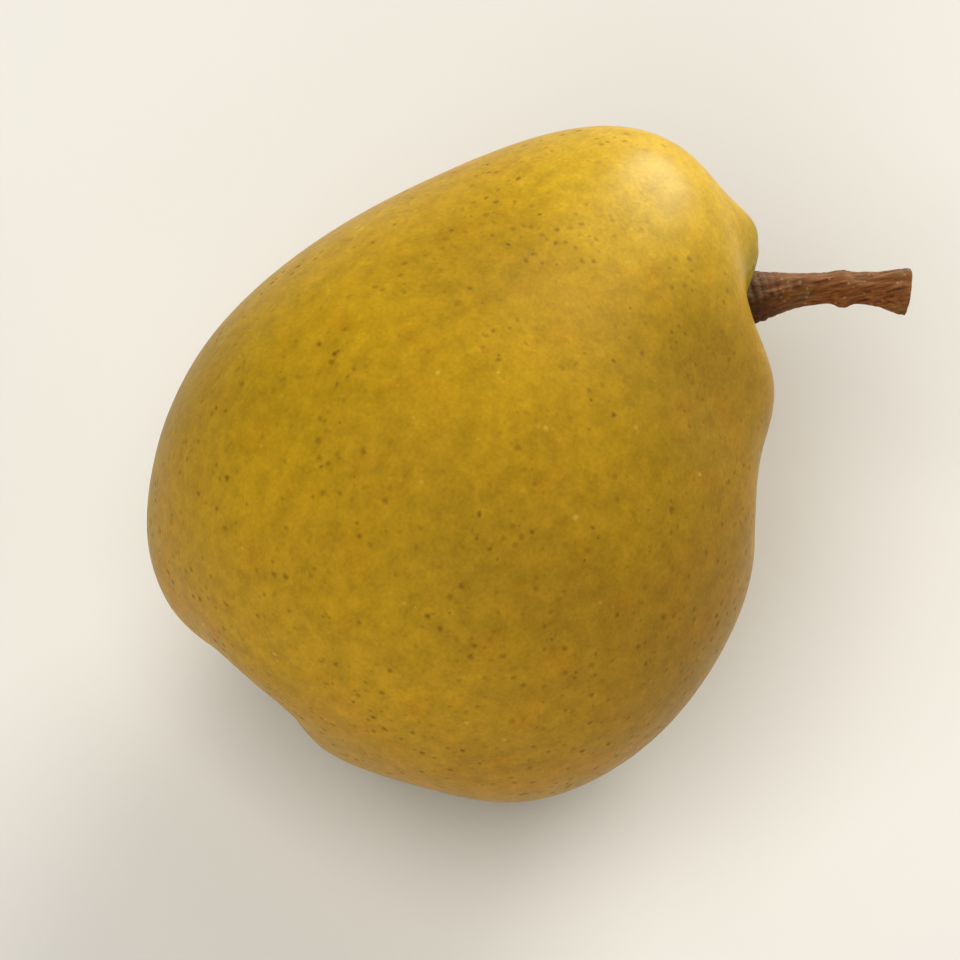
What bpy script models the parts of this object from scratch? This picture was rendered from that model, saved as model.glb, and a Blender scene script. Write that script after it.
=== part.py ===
"""A golden dessert pear lying on its side, as picked.

Three pieces that grew together: the fruit, the woody stem in the notch beside its neck, and the dried calyx
in the basin at the blossom end. Metres, +Z up. The origin is on the small flat spot that the fruit rests on,
and +X runs along the fruit towards its stem end.

The fruit's skin is worked out in its own frame: X is its axis, towards the neck, and every distance is from
the middle of its belly. Two angles give a direction there: degrees from the axis, and degrees round it, from
+Y towards +Z.
"""

import math
from collections import namedtuple

import bmesh
import bpy
import numpy as np
from mathutils import Matrix, Quaternion, Vector

GAP = 0.0003  # clearance between pieces that sit in each other

# Fruit: half its outline from the neck on, as degrees from the axis and distance from the belly's middle
OUTLINE = (
    (0, 0.0465),
    (20, 0.0455),
    (40, 0.0420),
    (60, 0.0400),
    (80, 0.0398),
    (100, 0.0408),
    (120, 0.0421),
    (135, 0.0426),
    (150, 0.0416),
    (165, 0.0402),
    (180, 0.0396),
)
OUTLINE_WAVES = 6  # waves in the smooth curve through the outline

# Places on the fruit, in degrees from its axis and round it
STEM_PLACE = (16, -167)
CALYX_PLACE = (160, -46)

# Swellings and hollows of the skin: where each is, how far it spreads in degrees, and its height
Lobe = namedtuple("Lobe", "from_axis around spread height")
LOBES = {
    "neck lump over the stem": Lobe(17, 74, 24, 0.0083),
    "steep side of the lump": Lobe(13, 166, 7.5, 0.0066),
    "notch at the stem": Lobe(19.5, -176, 13.3, -0.0085),
    "collar round the stem": Lobe(*STEM_PLACE, 6, 0.0012),
    "shoulder below the notch": Lobe(32, 173.5, 13, 0.0026),
    "right flank": Lobe(49.5, -173, 14, -0.0028),
    "valley beside the neck": Lobe(50, 138, 14, -0.0013),
    "belly underneath": Lobe(78, -95, 32, 0.0010),
    "left flank": Lobe(84, 10, 22, -0.0008),
    "left cheek": Lobe(139, 3, 18, 0.0013),
    "right cheek": Lobe(151, -147, 17, -0.0020),
    "rim of the basin, below": Lobe(168, -92, 9, 0.0010),
    "rim of the basin, above": Lobe(153, -6, 9, 0.0008),
    "basin round the calyx": Lobe(*CALYX_PLACE, 16, -0.0040),
    "floor of the basin": Lobe(*CALYX_PLACE, 9, -0.0034),
}

# Five low ridges round the basin, one for each sepal
RIDGES = 5
RIDGE_FROM_CALYX = 27
RIDGE_SPREAD = 14
RIDGE_HEIGHT = 0.0007

# Slight unevenness all over, as on any grown fruit
UNEVEN_COUNT = 22
UNEVEN_SPREAD = (16, 30)
UNEVEN_HEIGHT = 0.00055
UNEVEN_SEED = 11

# How the fruit lies: its axis is raised at the neck, and its belly's middle is this high above the flat spot
AXIS_RAISED = 10
BELLY_HEIGHT = 0.0401

# Fruit mesh
RINGS = 52
RING_POINTS = 72
POLE_CROWDING = 0.08  # rings lie closer at the stem and the calyx, where the form is finer

# Stem: a bent stalk, thick where it grows from the flesh and flared at its scar
STEM_LENGTH = 0.0235
STEM_SUNK = 0.0032
STEM_SOCKET_REACH = 0.0080  # how far the socket's wall follows the stem out of the flesh
STEM_SOCKET_RINGS = 7
STEM_WAIST_RADIUS = 0.0022
# Swellings at its root, knot and scar: where, how far they spread, both as shares of its length, and how much
STEM_SWELLS = ((0.0, 0.26, 0.0017), (0.62, 0.05, 0.00025), (1.0, 0.14, 0.0011))
# Low ridges of its bark: how many, how far they wind in radians, and their height as a share of the radius
STEM_RIDGES = ((3, 4, 0.05), (5, -7, 0.03))
# The scar's rings: share of the stem's radius, and how far each lies back from the end
STEM_SCAR_RINGS = ((0.82, -0.00015), (0.45, 0.0007))
STEM_SCAR_DEPTH = 0.0007
STEM_DIRECTION = (38, -166)
STEM_BEND = 22
STEM_BEND_TOWARDS = (110, -150)
STEM_RINGS = 22
STEM_POINTS = 18

# Calyx: a low cup with five dried sepals and a tuft of withered stamens
CUP_RADIUS = 0.0040
CUP_SUNK = 0.0010
CUP_RISE = 0.0011
CUP_INNER_RADIUS = 0.0028
CUP_SOCKET_RISE = 0.0030  # how far up the basin's wall the socket is cut, where the wall leans in
CUP_POINTS = 20
# Radius and height of each of the cup's rings, from its underside over the rim to its floor
CUP_PROFILE = (
    (0.0037, -CUP_SUNK),
    (CUP_RADIUS, 0.0),
    (0.0038, CUP_RISE),
    (CUP_INNER_RADIUS, CUP_RISE),
    (0.0025, 0.0002),
)
SEPALS = 5
SEPAL_LENGTHS = (0.0043, 0.0056)
SEPAL_WIDTH = 0.0044
SEPAL_THICKNESS = 0.0007
SEPAL_FROM_MIDDLE = 0.0031
SEPAL_TAPER = 0.9  # share of its width that a sepal loses by its tip
SEPAL_TAPER_CURVE = 1.6  # above 1 the sepal stays broad for longer
SEPAL_HOLLOW = 0.22  # how deep it is cupped, as a share of half its width
SEPAL_LEANS = (-26, -8)  # degrees from upright at the rim, outwards above zero
SEPAL_CURLS = (30, 85)  # degrees that it turns outwards by its tip
SEPAL_STRAYS = 0.06  # how far it strays from its fifth of the circle, as a share of that fifth
SEPAL_STEPS = 6
STAMENS = 11
STAMEN_LENGTHS = (0.0026, 0.0039)
STAMEN_FROM_MIDDLE = (0.0007, 0.0020)
STAMEN_LEANS = (-0.5, 0.3)  # how far its tip leans outwards, as a share of its length
STAMEN_STRAYS = 0.2
STAMEN_RADIUS = 0.00036
STAMEN_SIDES = 4
# Share of the way up a stamen, and its thickness there
STAMEN_PROFILE = ((0.0, 1.0), (0.5, 0.9), (0.85, 1.5), (1.0, 0.9))
CALYX_SEED = 5


def direction(from_axis, around):
    """The unit vector at these angles, in the fruit's own frame."""
    a, b = math.radians(from_axis), math.radians(around)
    return Vector((math.cos(a), math.sin(a) * math.cos(b), math.sin(a) * math.sin(b)))


def ridge_lobes():
    """The low ridges round the blossom end, evenly round the calyx."""
    calyx = direction(*CALYX_PLACE)
    lobes = []
    for i in range(RIDGES):
        swing = Quaternion(calyx, math.tau * i / RIDGES)
        place = swing @ (Quaternion(calyx.orthogonal(), math.radians(RIDGE_FROM_CALYX)) @ calyx)
        from_axis = math.degrees(math.acos(place.x))
        lobes.append(Lobe(from_axis, math.degrees(math.atan2(place.z, place.y)), RIDGE_SPREAD, RIDGE_HEIGHT))
    return lobes


def uneven_lobes():
    """Small swellings and hollows spread evenly over the fruit by chance."""
    rng = np.random.default_rng(UNEVEN_SEED)
    lobes = []
    for _ in range(UNEVEN_COUNT):
        from_axis = math.degrees(math.acos(rng.uniform(-1, 1)))
        around = rng.uniform(-180, 180)
        lobes.append(Lobe(from_axis, around, rng.uniform(*UNEVEN_SPREAD), rng.uniform(-1, 1) * UNEVEN_HEIGHT))
    return lobes


def all_lobes():
    """Everything that swells or sinks in the skin."""
    return [*LOBES.values(), *ridge_lobes(), *uneven_lobes()]


def outline_curve():
    """The smooth curve through the outline: distance against the cosine of the angle from the axis."""
    angles, distances = np.array(OUTLINE).T
    return np.polynomial.Chebyshev.fit(np.cos(np.radians(angles)), distances, OUTLINE_WAVES, domain=[-1, 1])


CURVE = outline_curve()
SKIN_LOBES = [(direction(lobe.from_axis, lobe.around), lobe) for lobe in all_lobes()]


def skin_point(towards):
    """Where the skin is in this direction from the belly's middle, in the fruit's own frame."""
    distance = float(CURVE(towards.x))
    for middle, lobe in SKIN_LOBES:
        nearness = middle.dot(towards) - 1
        distance += lobe.height * math.exp(2 * nearness / math.radians(lobe.spread) ** 2)
    return towards * distance


def ring_direction(share, turn):
    """A direction on the ring at this share of the way from stem to calyx, with the poles moved onto both."""
    polar = math.pi * (share - POLE_CROWDING * math.sin(math.tau * share))
    axis = Vector((1, 0, 0))
    plain = Vector((math.cos(polar), math.sin(polar) * math.cos(turn), math.sin(polar) * math.sin(turn)))
    to_stem = axis.rotation_difference(direction(*STEM_PLACE)).to_exponential_map()
    to_calyx = (-axis).rotation_difference(direction(*CALYX_PLACE)).to_exponential_map()
    near_stem = (1 + plain.x) / 2
    near_calyx = (1 - plain.x) / 2
    return Quaternion(to_stem * near_stem**2 + to_calyx * near_calyx**2) @ plain


def lying():
    """The matrix from the fruit's own frame to where it lies."""
    raised = Matrix.Rotation(math.radians(-AXIS_RAISED), 4, "Y")
    return Matrix.Translation((0, 0, BELLY_HEIGHT)) @ raised


def plain_material(name, colour, roughness):
    """A plain surface of one colour."""
    material = bpy.data.materials.new(name)
    material.use_nodes = True
    surface = material.node_tree.nodes["Principled BSDF"]
    surface.inputs["Base Color"].default_value = (*colour, 1)
    surface.inputs["Roughness"].default_value = roughness
    surface.inputs["Metallic"].default_value = 0
    return material


def add_object(name, body, material=None):
    """A new object from a bmesh, shaded smooth."""
    bmesh.ops.recalc_face_normals(body, faces=body.faces)
    mesh = bpy.data.meshes.new(name)
    body.to_mesh(mesh)
    body.free()
    mesh.shade_smooth()
    if material:
        mesh.materials.append(material)
    placed = bpy.data.objects.new(name, mesh)
    bpy.context.scene.collection.objects.link(placed)
    return placed


def skin_over_rings(rings, first=None, last=None):
    """A closed body over rings of points, each end a fan to a point there, or one flat face."""
    body = bmesh.new()
    loops = [[body.verts.new(point) for point in ring] for ring in rings]
    count = len(rings[0])
    for near, far in zip(loops, loops[1:]):
        for i in range(count):
            j = (i + 1) % count
            body.faces.new((near[i], near[j], far[j], far[i]))
    for loop, tip in ((loops[0], first), (loops[-1], last)):
        if tip is None:
            body.faces.new(loop)
            continue
        middle = body.verts.new(tip)
        for i in range(count):
            body.faces.new((loop[i], loop[(i + 1) % count], middle))
    return body


def cut_away(target, cutter):
    """Leaves a Boolean on the target that takes the hidden cutter from it."""
    cutter.hide_render = True
    cutter.display_type = "WIRE"
    cut = target.modifiers.new(cutter.name, "BOOLEAN")
    cut.operation = "DIFFERENCE"
    cut.object = cutter


def make_fruit():
    """Flesh and skin, one solid, with the flat spot underneath."""
    rings = [
        [skin_point(ring_direction(r / RINGS, math.tau * i / RING_POINTS)) for i in range(RING_POINTS)]
        for r in range(1, RINGS)
    ]
    body = skin_over_rings(rings, skin_point(direction(*STEM_PLACE)), skin_point(direction(*CALYX_PLACE)))
    body.transform(lying())
    fruit = add_object("fruit", body, plain_material("pear skin", (0.42, 0.24, 0.018), 0.42))

    ground = bmesh.new()
    side = 2 * BELLY_HEIGHT
    bmesh.ops.create_cube(ground, size=side, matrix=Matrix.Translation((0, 0, -side / 2)))
    cut_away(fruit, add_object("flat spot cutter", ground))
    return fruit


def stem_frame():
    """The stem's root on the skin, its direction there, and the side it bends to."""
    root = skin_point(direction(*STEM_PLACE))
    along = direction(*STEM_DIRECTION)
    towards = direction(*STEM_BEND_TOWARDS)
    side = (towards - along * towards.dot(along)).normalized()
    return root, along, side


def stem_middle(distance):
    """The stem's middle line at this distance from the skin, and its direction there."""
    root, along, side = stem_frame()
    bend = math.radians(STEM_BEND)
    radius = STEM_LENGTH / bend
    turn = distance / radius
    middle = root + along * math.sin(turn) * radius + side * (1 - math.cos(turn)) * radius
    return middle, (along * math.cos(turn) + side * math.sin(turn)).normalized()


def stem_radius(distance, turn):
    """How thick the stem is at this distance from the skin, with the low ridges of its bark."""
    share = max(distance / STEM_LENGTH, 0)
    swell = sum(height * math.exp(-(((share - at) / spread) ** 2)) for at, spread, height in STEM_SWELLS)
    ridges = sum(height * math.cos(count * turn + wind * share) for count, wind, height in STEM_RIDGES)
    return (STEM_WAIST_RADIUS + swell) * (1 + ridges)


def stem_ring(distance, wider=0.0, scale=1.0, drop=0.0):
    """One ring of the stem, made wider or scaled about its middle, and dropped back along it."""
    middle, along = stem_middle(distance)
    across = stem_frame()[2].cross(along).normalized()
    up = along.cross(across)
    ring = []
    for i in range(STEM_POINTS):
        turn = math.tau * i / STEM_POINTS
        radius = (stem_radius(distance, turn) + wider) * scale
        ring.append(middle - along * drop + (across * math.cos(turn) + up * math.sin(turn)) * radius)
    return ring


def make_stem(fruit):
    """The stalk, in a socket in the flesh that clears it all round."""
    distances = np.linspace(-STEM_SUNK, STEM_LENGTH, STEM_RINGS)
    rings = [stem_ring(distance) for distance in distances]
    rings.extend(stem_ring(STEM_LENGTH, scale=share, drop=drop) for share, drop in STEM_SCAR_RINGS)
    tip, along = stem_middle(STEM_LENGTH)
    body = skin_over_rings(rings, last=tip - along * STEM_SCAR_DEPTH)
    body.transform(lying())
    add_object("stem", body, plain_material("pear stem", (0.11, 0.055, 0.022), 0.75))

    depths = np.linspace(-STEM_SUNK - GAP, STEM_SOCKET_REACH, STEM_SOCKET_RINGS)
    socket = skin_over_rings([stem_ring(depth, wider=GAP) for depth in depths])
    socket.transform(lying())
    cut_away(fruit, add_object("stem socket cutter", socket))


def out_of_basin():
    """The way out of the calyx's basin, square to the plane through its rim."""
    middle = direction(*CALYX_PLACE)
    one = middle.orthogonal().normalized()
    reach = math.radians(LOBES["basin round the calyx"].spread)
    spans = []
    for axis in (one, middle.cross(one)):
        far, near = (skin_point(Quaternion(axis, swing) @ middle) for swing in (reach, -reach))
        spans.append(far - near)
    out = spans[0].cross(spans[1]).normalized()
    return out if out.dot(middle) > 0 else -out


def calyx_frame():
    """The matrix from the calyx's own frame, +Z out of the basin, to the fruit's own frame."""
    turn = Vector((0, 0, 1)).rotation_difference(out_of_basin())
    return Matrix.Translation(skin_point(direction(*CALYX_PLACE))) @ turn.to_matrix().to_4x4()


def level_ring(radius, height, points=CUP_POINTS, out=0.0):
    """A level ring in the calyx's own frame, its middle this far out along +X."""
    turns = [math.tau * i / points for i in range(points)]
    return [Vector((out + radius * math.cos(t), radius * math.sin(t), height)) for t in turns]


def sepal_body(turn, length, curl, lean):
    """One dried sepal: a pointed blade that rises from the rim and curls over outwards."""
    sections = []
    angle = lean
    out, up = SEPAL_FROM_MIDDLE, 0.0
    for step in range(SEPAL_STEPS + 1):
        share = step / SEPAL_STEPS
        half = SEPAL_WIDTH / 2 * (1 - SEPAL_TAPER * share**SEPAL_TAPER_CURVE)
        normal = (math.cos(angle), -math.sin(angle))
        section = []
        for side, face in ((-1, 1), (0, 1), (1, 1), (1, -1), (0, -1), (-1, -1)):
            lift = face * SEPAL_THICKNESS / 2 - (SEPAL_HOLLOW * half if side == 0 else 0)
            section.append(Vector((out + normal[0] * lift, side * half, up + normal[1] * lift)))
        sections.append(section)
        out += math.sin(angle) * length / SEPAL_STEPS
        up += math.cos(angle) * length / SEPAL_STEPS
        angle += curl / SEPAL_STEPS
    body = skin_over_rings(sections)
    body.transform(Matrix.Rotation(turn, 4, "Z"))
    return body


def stamen_body(turn, out, length, lean):
    """One withered stamen: a thin bent peg with a thicker end."""
    sections = [
        level_ring(STAMEN_RADIUS * scale, length * share, STAMEN_SIDES, out + lean * share**2 * length)
        for share, scale in STAMEN_PROFILE
    ]
    body = skin_over_rings(sections)
    body.transform(Matrix.Rotation(turn, 4, "Z"))
    return body


def calyx_blades():
    """The sepals and the stamens, each a body of its own in the calyx's own frame."""
    rng = np.random.default_rng(CALYX_SEED)
    blades = []
    for i in range(SEPALS):
        turn = math.tau * (i + rng.uniform(-SEPAL_STRAYS, SEPAL_STRAYS)) / SEPALS
        length = rng.uniform(*SEPAL_LENGTHS)
        curl = math.radians(rng.uniform(*SEPAL_CURLS))
        blades.append(sepal_body(turn, length, curl, math.radians(rng.uniform(*SEPAL_LEANS))))
    for i in range(STAMENS):
        turn = math.tau * (i + rng.uniform(-STAMEN_STRAYS, STAMEN_STRAYS)) / STAMENS
        out = rng.uniform(*STAMEN_FROM_MIDDLE)
        blades.append(stamen_body(turn, out, rng.uniform(*STAMEN_LENGTHS), rng.uniform(*STAMEN_LEANS)))
    return blades


def fuse(target, bodies):
    """Makes one closed body of the target and these bodies, which are used up."""
    grown = bpy.data.collections.new("bodies to fuse")
    for body in bodies:
        part = add_object("body to fuse", body)
        bpy.context.scene.collection.objects.unlink(part)
        grown.objects.link(part)
    bpy.context.scene.collection.children.link(grown)
    union = target.modifiers.new("fuse", "BOOLEAN")
    union.operation = "UNION"
    union.operand_type = "COLLECTION"
    union.collection = grown
    fused = bpy.data.meshes.new_from_object(target.evaluated_get(bpy.context.evaluated_depsgraph_get()))
    target.modifiers.remove(union)
    target.data = fused
    for part in list(grown.objects):
        bpy.data.objects.remove(part)
    bpy.data.collections.remove(grown)


def make_calyx(fruit):
    """The dried flower's remains, fused into one piece, in a shallow socket in the basin's floor."""
    frame = lying() @ calyx_frame()
    cup = skin_over_rings([level_ring(radius, height) for radius, height in CUP_PROFILE])
    cup.transform(frame)
    calyx = add_object("calyx", cup, plain_material("dried calyx", (0.045, 0.026, 0.014), 0.9))
    blades = calyx_blades()
    for blade in blades:
        blade.transform(frame)
    fuse(calyx, blades)

    wide = CUP_RADIUS + GAP
    socket = skin_over_rings([level_ring(wide, -CUP_SUNK - GAP), level_ring(wide, CUP_SOCKET_RISE)])
    socket.transform(frame)
    cut_away(fruit, add_object("calyx socket cutter", socket))


def main():
    """Clears the scene and grows the pear."""
    for old in list(bpy.data.objects):
        bpy.data.objects.remove(old)
    fruit = make_fruit()
    make_stem(fruit)
    make_calyx(fruit)


main()
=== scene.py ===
"""The looks of a golden dessert pear that lies on its side: waxy skin, barky stem and dried calyx.

The fruit's skin is worked out in its own frame, as its solid is: X is its axis, towards the neck, and every
distance is from the middle of its belly. Sizes are in metres and angles in degrees, unless a name says
otherwise. A pattern in a material is measured in millimetres.
"""

import logging
import math
from dataclasses import dataclass, field
from enum import Enum

import bmesh
import bpy
import numpy as np
from mathutils import Matrix, Quaternion, Vector, noise


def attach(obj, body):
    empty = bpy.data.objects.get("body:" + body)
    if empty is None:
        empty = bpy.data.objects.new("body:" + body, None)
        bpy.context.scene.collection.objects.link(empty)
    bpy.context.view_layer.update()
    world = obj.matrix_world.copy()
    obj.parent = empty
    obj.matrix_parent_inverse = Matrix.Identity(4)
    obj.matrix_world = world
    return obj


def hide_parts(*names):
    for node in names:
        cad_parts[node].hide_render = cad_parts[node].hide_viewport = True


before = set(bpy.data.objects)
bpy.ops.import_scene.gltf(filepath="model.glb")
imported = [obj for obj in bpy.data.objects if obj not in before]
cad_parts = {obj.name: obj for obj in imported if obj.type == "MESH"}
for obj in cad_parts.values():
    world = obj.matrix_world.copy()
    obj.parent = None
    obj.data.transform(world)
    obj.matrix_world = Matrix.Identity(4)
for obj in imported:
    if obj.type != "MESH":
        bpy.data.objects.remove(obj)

log = logging.getLogger("pear")

Colour = tuple[float, float, float, float]
Socket = bpy.types.NodeSocket
Span = tuple[float, float]
Stop = tuple[float, str]
MM = 0.001


class Slot(Enum):
    """The material slots of the record."""

    SKIN = "skin"
    STEM = "stem"
    CALYX = "calyx"


class Node(Enum):
    """The solids that the finer pieces stand for."""

    FRUIT = "fruit"
    STEM = "stem"
    CALYX = "calyx"


def linear(code: str) -> Colour:
    """Turns a colour as written for screens into the linear one that shaders take.

    Args:
        code: an sRGB colour such as "#C79A16".

    Returns:
        Red, green, blue and an alpha of 1, linear.
    """
    shares = [int(code[i : i + 2], 16) / 255 for i in (1, 3, 5)]
    plain = [s / 12.92 if s <= 0.04045 else ((s + 0.055) / 1.055) ** 2.4 for s in shares]
    return (plain[0], plain[1], plain[2], 1.0)


class Dressing:
    """A material under way: its nodes, its shader, and the place on the object in millimetres."""

    def __init__(self, name: str) -> None:
        """Starts a material of this name."""
        self.material = bpy.data.materials.new(name)
        self.material.use_nodes = True
        self.tree = self.material.node_tree
        self.surface = self.tree.nodes["Principled BSDF"]
        place = self.add("TexCoord").outputs["Object"]
        self.mm = self.add("VectorMath", {0: place, "Scale": 1 / MM}, operation="SCALE")

    def connect(self, node: bpy.types.Node, inputs: dict) -> None:
        """Sets or links a node's inputs.

        Args:
            node: the node.
            inputs: for each socket, by name or number, a value, a socket to link from, or a node whose first
                output is linked.
        """
        for key, value in inputs.items():
            if isinstance(value, bpy.types.Node):
                value = value.outputs[0]
            if isinstance(value, Socket):
                self.tree.links.new(value, node.inputs[key])
            else:
                node.inputs[key].default_value = value

    def add(
        self, kind: str, inputs: dict | None = None, stops: tuple[Stop, ...] = (), **settings: str
    ) -> bpy.types.Node:
        """Adds a shader node with its settings and links.

        Args:
            kind: the node's type, such as "Math".
            inputs: what goes into it, as connect takes it.
            stops: places and sRGB colours of a colour ramp.
            settings: the node's own properties.

        Returns:
            The node.
        """
        node = self.tree.nodes.new("ShaderNode" + kind)
        for name, value in settings.items():
            setattr(node, name, value)
        self.connect(node, inputs or {})
        for i, (place, colour) in enumerate(stops):
            elements = node.color_ramp.elements
            element = elements[i] if i < 2 else elements.new(place)
            element.position = place
            element.color = linear(colour)
        return node

    def near(
        self, spot: Vector, ends_mm: float, full_mm: float, most: float = 1.0, fade: str = "LINEAR"
    ) -> bpy.types.Node:
        """How near the surface is to a spot.

        Args:
            spot: the spot, in metres.
            ends_mm: the distance at which the share comes down to 0.
            full_mm: the distance within which it is greatest.
            most: the greatest share.
            fade: how it runs from one to the other.

        Returns:
            The node that gives the share.
        """
        away = self.add("VectorMath", {0: self.mm, 1: tuple(spot / MM)}, operation="DISTANCE")
        sizes = {"Value": away.outputs["Value"], "From Min": ends_mm, "From Max": full_mm, "To Max": most}
        return self.add("MapRange", sizes, interpolation_type=fade)

    def coats(self, colour: Socket, tops: list[tuple[str, Socket | bpy.types.Node]]) -> Socket:
        """Lays colours over one another.

        Args:
            colour: the colour underneath.
            tops: each colour on top, sRGB, and how much of it shows.

        Returns:
            The mixed colour.
        """
        for top, share in tops:
            mix = self.add("Mix", {"Factor": share, "A": colour, "B": linear(top)}, data_type="RGBA")
            colour = mix.outputs[2]
        return colour

    def finish(
        self, colour: Socket, height: bpy.types.Node, strength: float, depth_mm: float, values: dict
    ) -> bpy.types.Material:
        """Puts colour and relief on the shader.

        Args:
            colour: the colour.
            height: the relief, from 0 to 1.
            strength: how strongly the relief shows.
            depth_mm: how deep it is.
            values: the shader's other inputs.

        Returns:
            The finished material.
        """
        relief = self.add("Bump", {"Strength": strength, "Distance": depth_mm * MM, "Height": height})
        self.connect(self.surface, {"Base Color": colour, "Normal": relief, **values})
        return self.material


def smooth_step(value: np.ndarray, low: float, high: float) -> np.ndarray:
    """Rises smoothly from 0 at low to 1 at high."""
    share = np.clip((value - low) / (high - low), 0, 1)
    return share * share * (3 - 2 * share)


def hill(value: np.ndarray, at: float, reach: float) -> np.ndarray:
    """A smooth hill of height 1 at a place, with this reach."""
    return np.exp(-(((value - at) / reach) ** 2))


def crease(angle: np.ndarray) -> np.ndarray:
    """A wave from 0 to 1 with a narrow crest once a turn, for an angle in radians."""
    return (0.5 - 0.5 * np.cos(angle)) ** 2


def turns(count: int) -> np.ndarray:
    """Angles spread evenly round a circle, in radians."""
    return np.arange(count) * math.tau / count


def turn_between(turn: np.ndarray, other: float) -> np.ndarray:
    """The shorter way round from one angle to another, in radians."""
    return (turn - other + math.pi) % math.tau - math.pi


def circle(turn: np.ndarray, radius: float, height: float | np.ndarray) -> np.ndarray:
    """Points at these turns, in radians, on a level circle."""
    return np.stack([radius * np.cos(turn), radius * np.sin(turn), np.full_like(turn, height)], axis=-1)


def noise_at(points: np.ndarray, period: float, offset: float = 0.0) -> np.ndarray:
    """Smooth noise at points.

    Args:
        points: an array of points.
        period: the size of the noise's waves, in the points' unit.
        offset: moves the noise, so that two layers differ.

    Returns:
        A value from about -1 to 1 for each point.
    """
    shift = Vector((offset, offset, offset))
    values = [noise.noise(Vector(p) + shift) for p in points.reshape(-1, 3) / period]
    return np.array(values).reshape(points.shape[:-1])


def mesh_of_rings(name: str, grids: list[np.ndarray], tips: tuple[np.ndarray, ...] = ()) -> bpy.types.Mesh:
    """Makes a mesh of closed bodies, each over a stack of rings.

    Args:
        name: the mesh's name.
        grids: the points of each body, by ring and by place on the ring.
        tips: the points that close a single body's ends with fans. Without them each end is one flat face.

    Returns:
        The mesh, its faces looking outwards and shaded smooth.
    """
    points, faces = [], []
    for grid in grids:
        start = len(points)
        rings, count = grid.shape[:2]
        last = start + (rings - 1) * count
        points += [tuple(p) for p in grid.reshape(-1, 3)]
        for near in range(start, last, count):
            for i in range(count):
                j = (i + 1) % count
                faces.append((near + i, near + j, near + count + j, near + count + i))
        for first, way, tip in zip((start, last), (-1, 1), tips or (None, None)):
            rim = list(range(first, first + count))[::way]
            if tip is None:
                faces.append(tuple(rim))
            else:
                faces += [(rim[i], rim[(i + 1) % count], len(points)) for i in range(count)]
                points.append(tuple(tip))
    mesh = bpy.data.meshes.new(name)
    mesh.from_pydata(points, [], faces)
    bodies = bmesh.new()
    bodies.from_mesh(mesh)
    bmesh.ops.recalc_face_normals(bodies, faces=bodies.faces)
    bodies.to_mesh(mesh)
    bodies.free()
    mesh.shade_smooth()
    return mesh


@dataclass(frozen=True)
class Place:
    """A direction from the belly's middle: degrees from the axis, and degrees round it from +Y to +Z."""

    from_axis: float
    around: float

    def direction(self) -> Vector:
        """The unit vector there."""
        a, b = math.radians(self.from_axis), math.radians(self.around)
        return Vector((math.cos(a), math.sin(a) * math.cos(b), math.sin(a) * math.sin(b)))


@dataclass(frozen=True)
class Lobe:
    """A swelling or, with a height below zero, a hollow in the skin."""

    place: Place
    spread: float
    height: float


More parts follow.
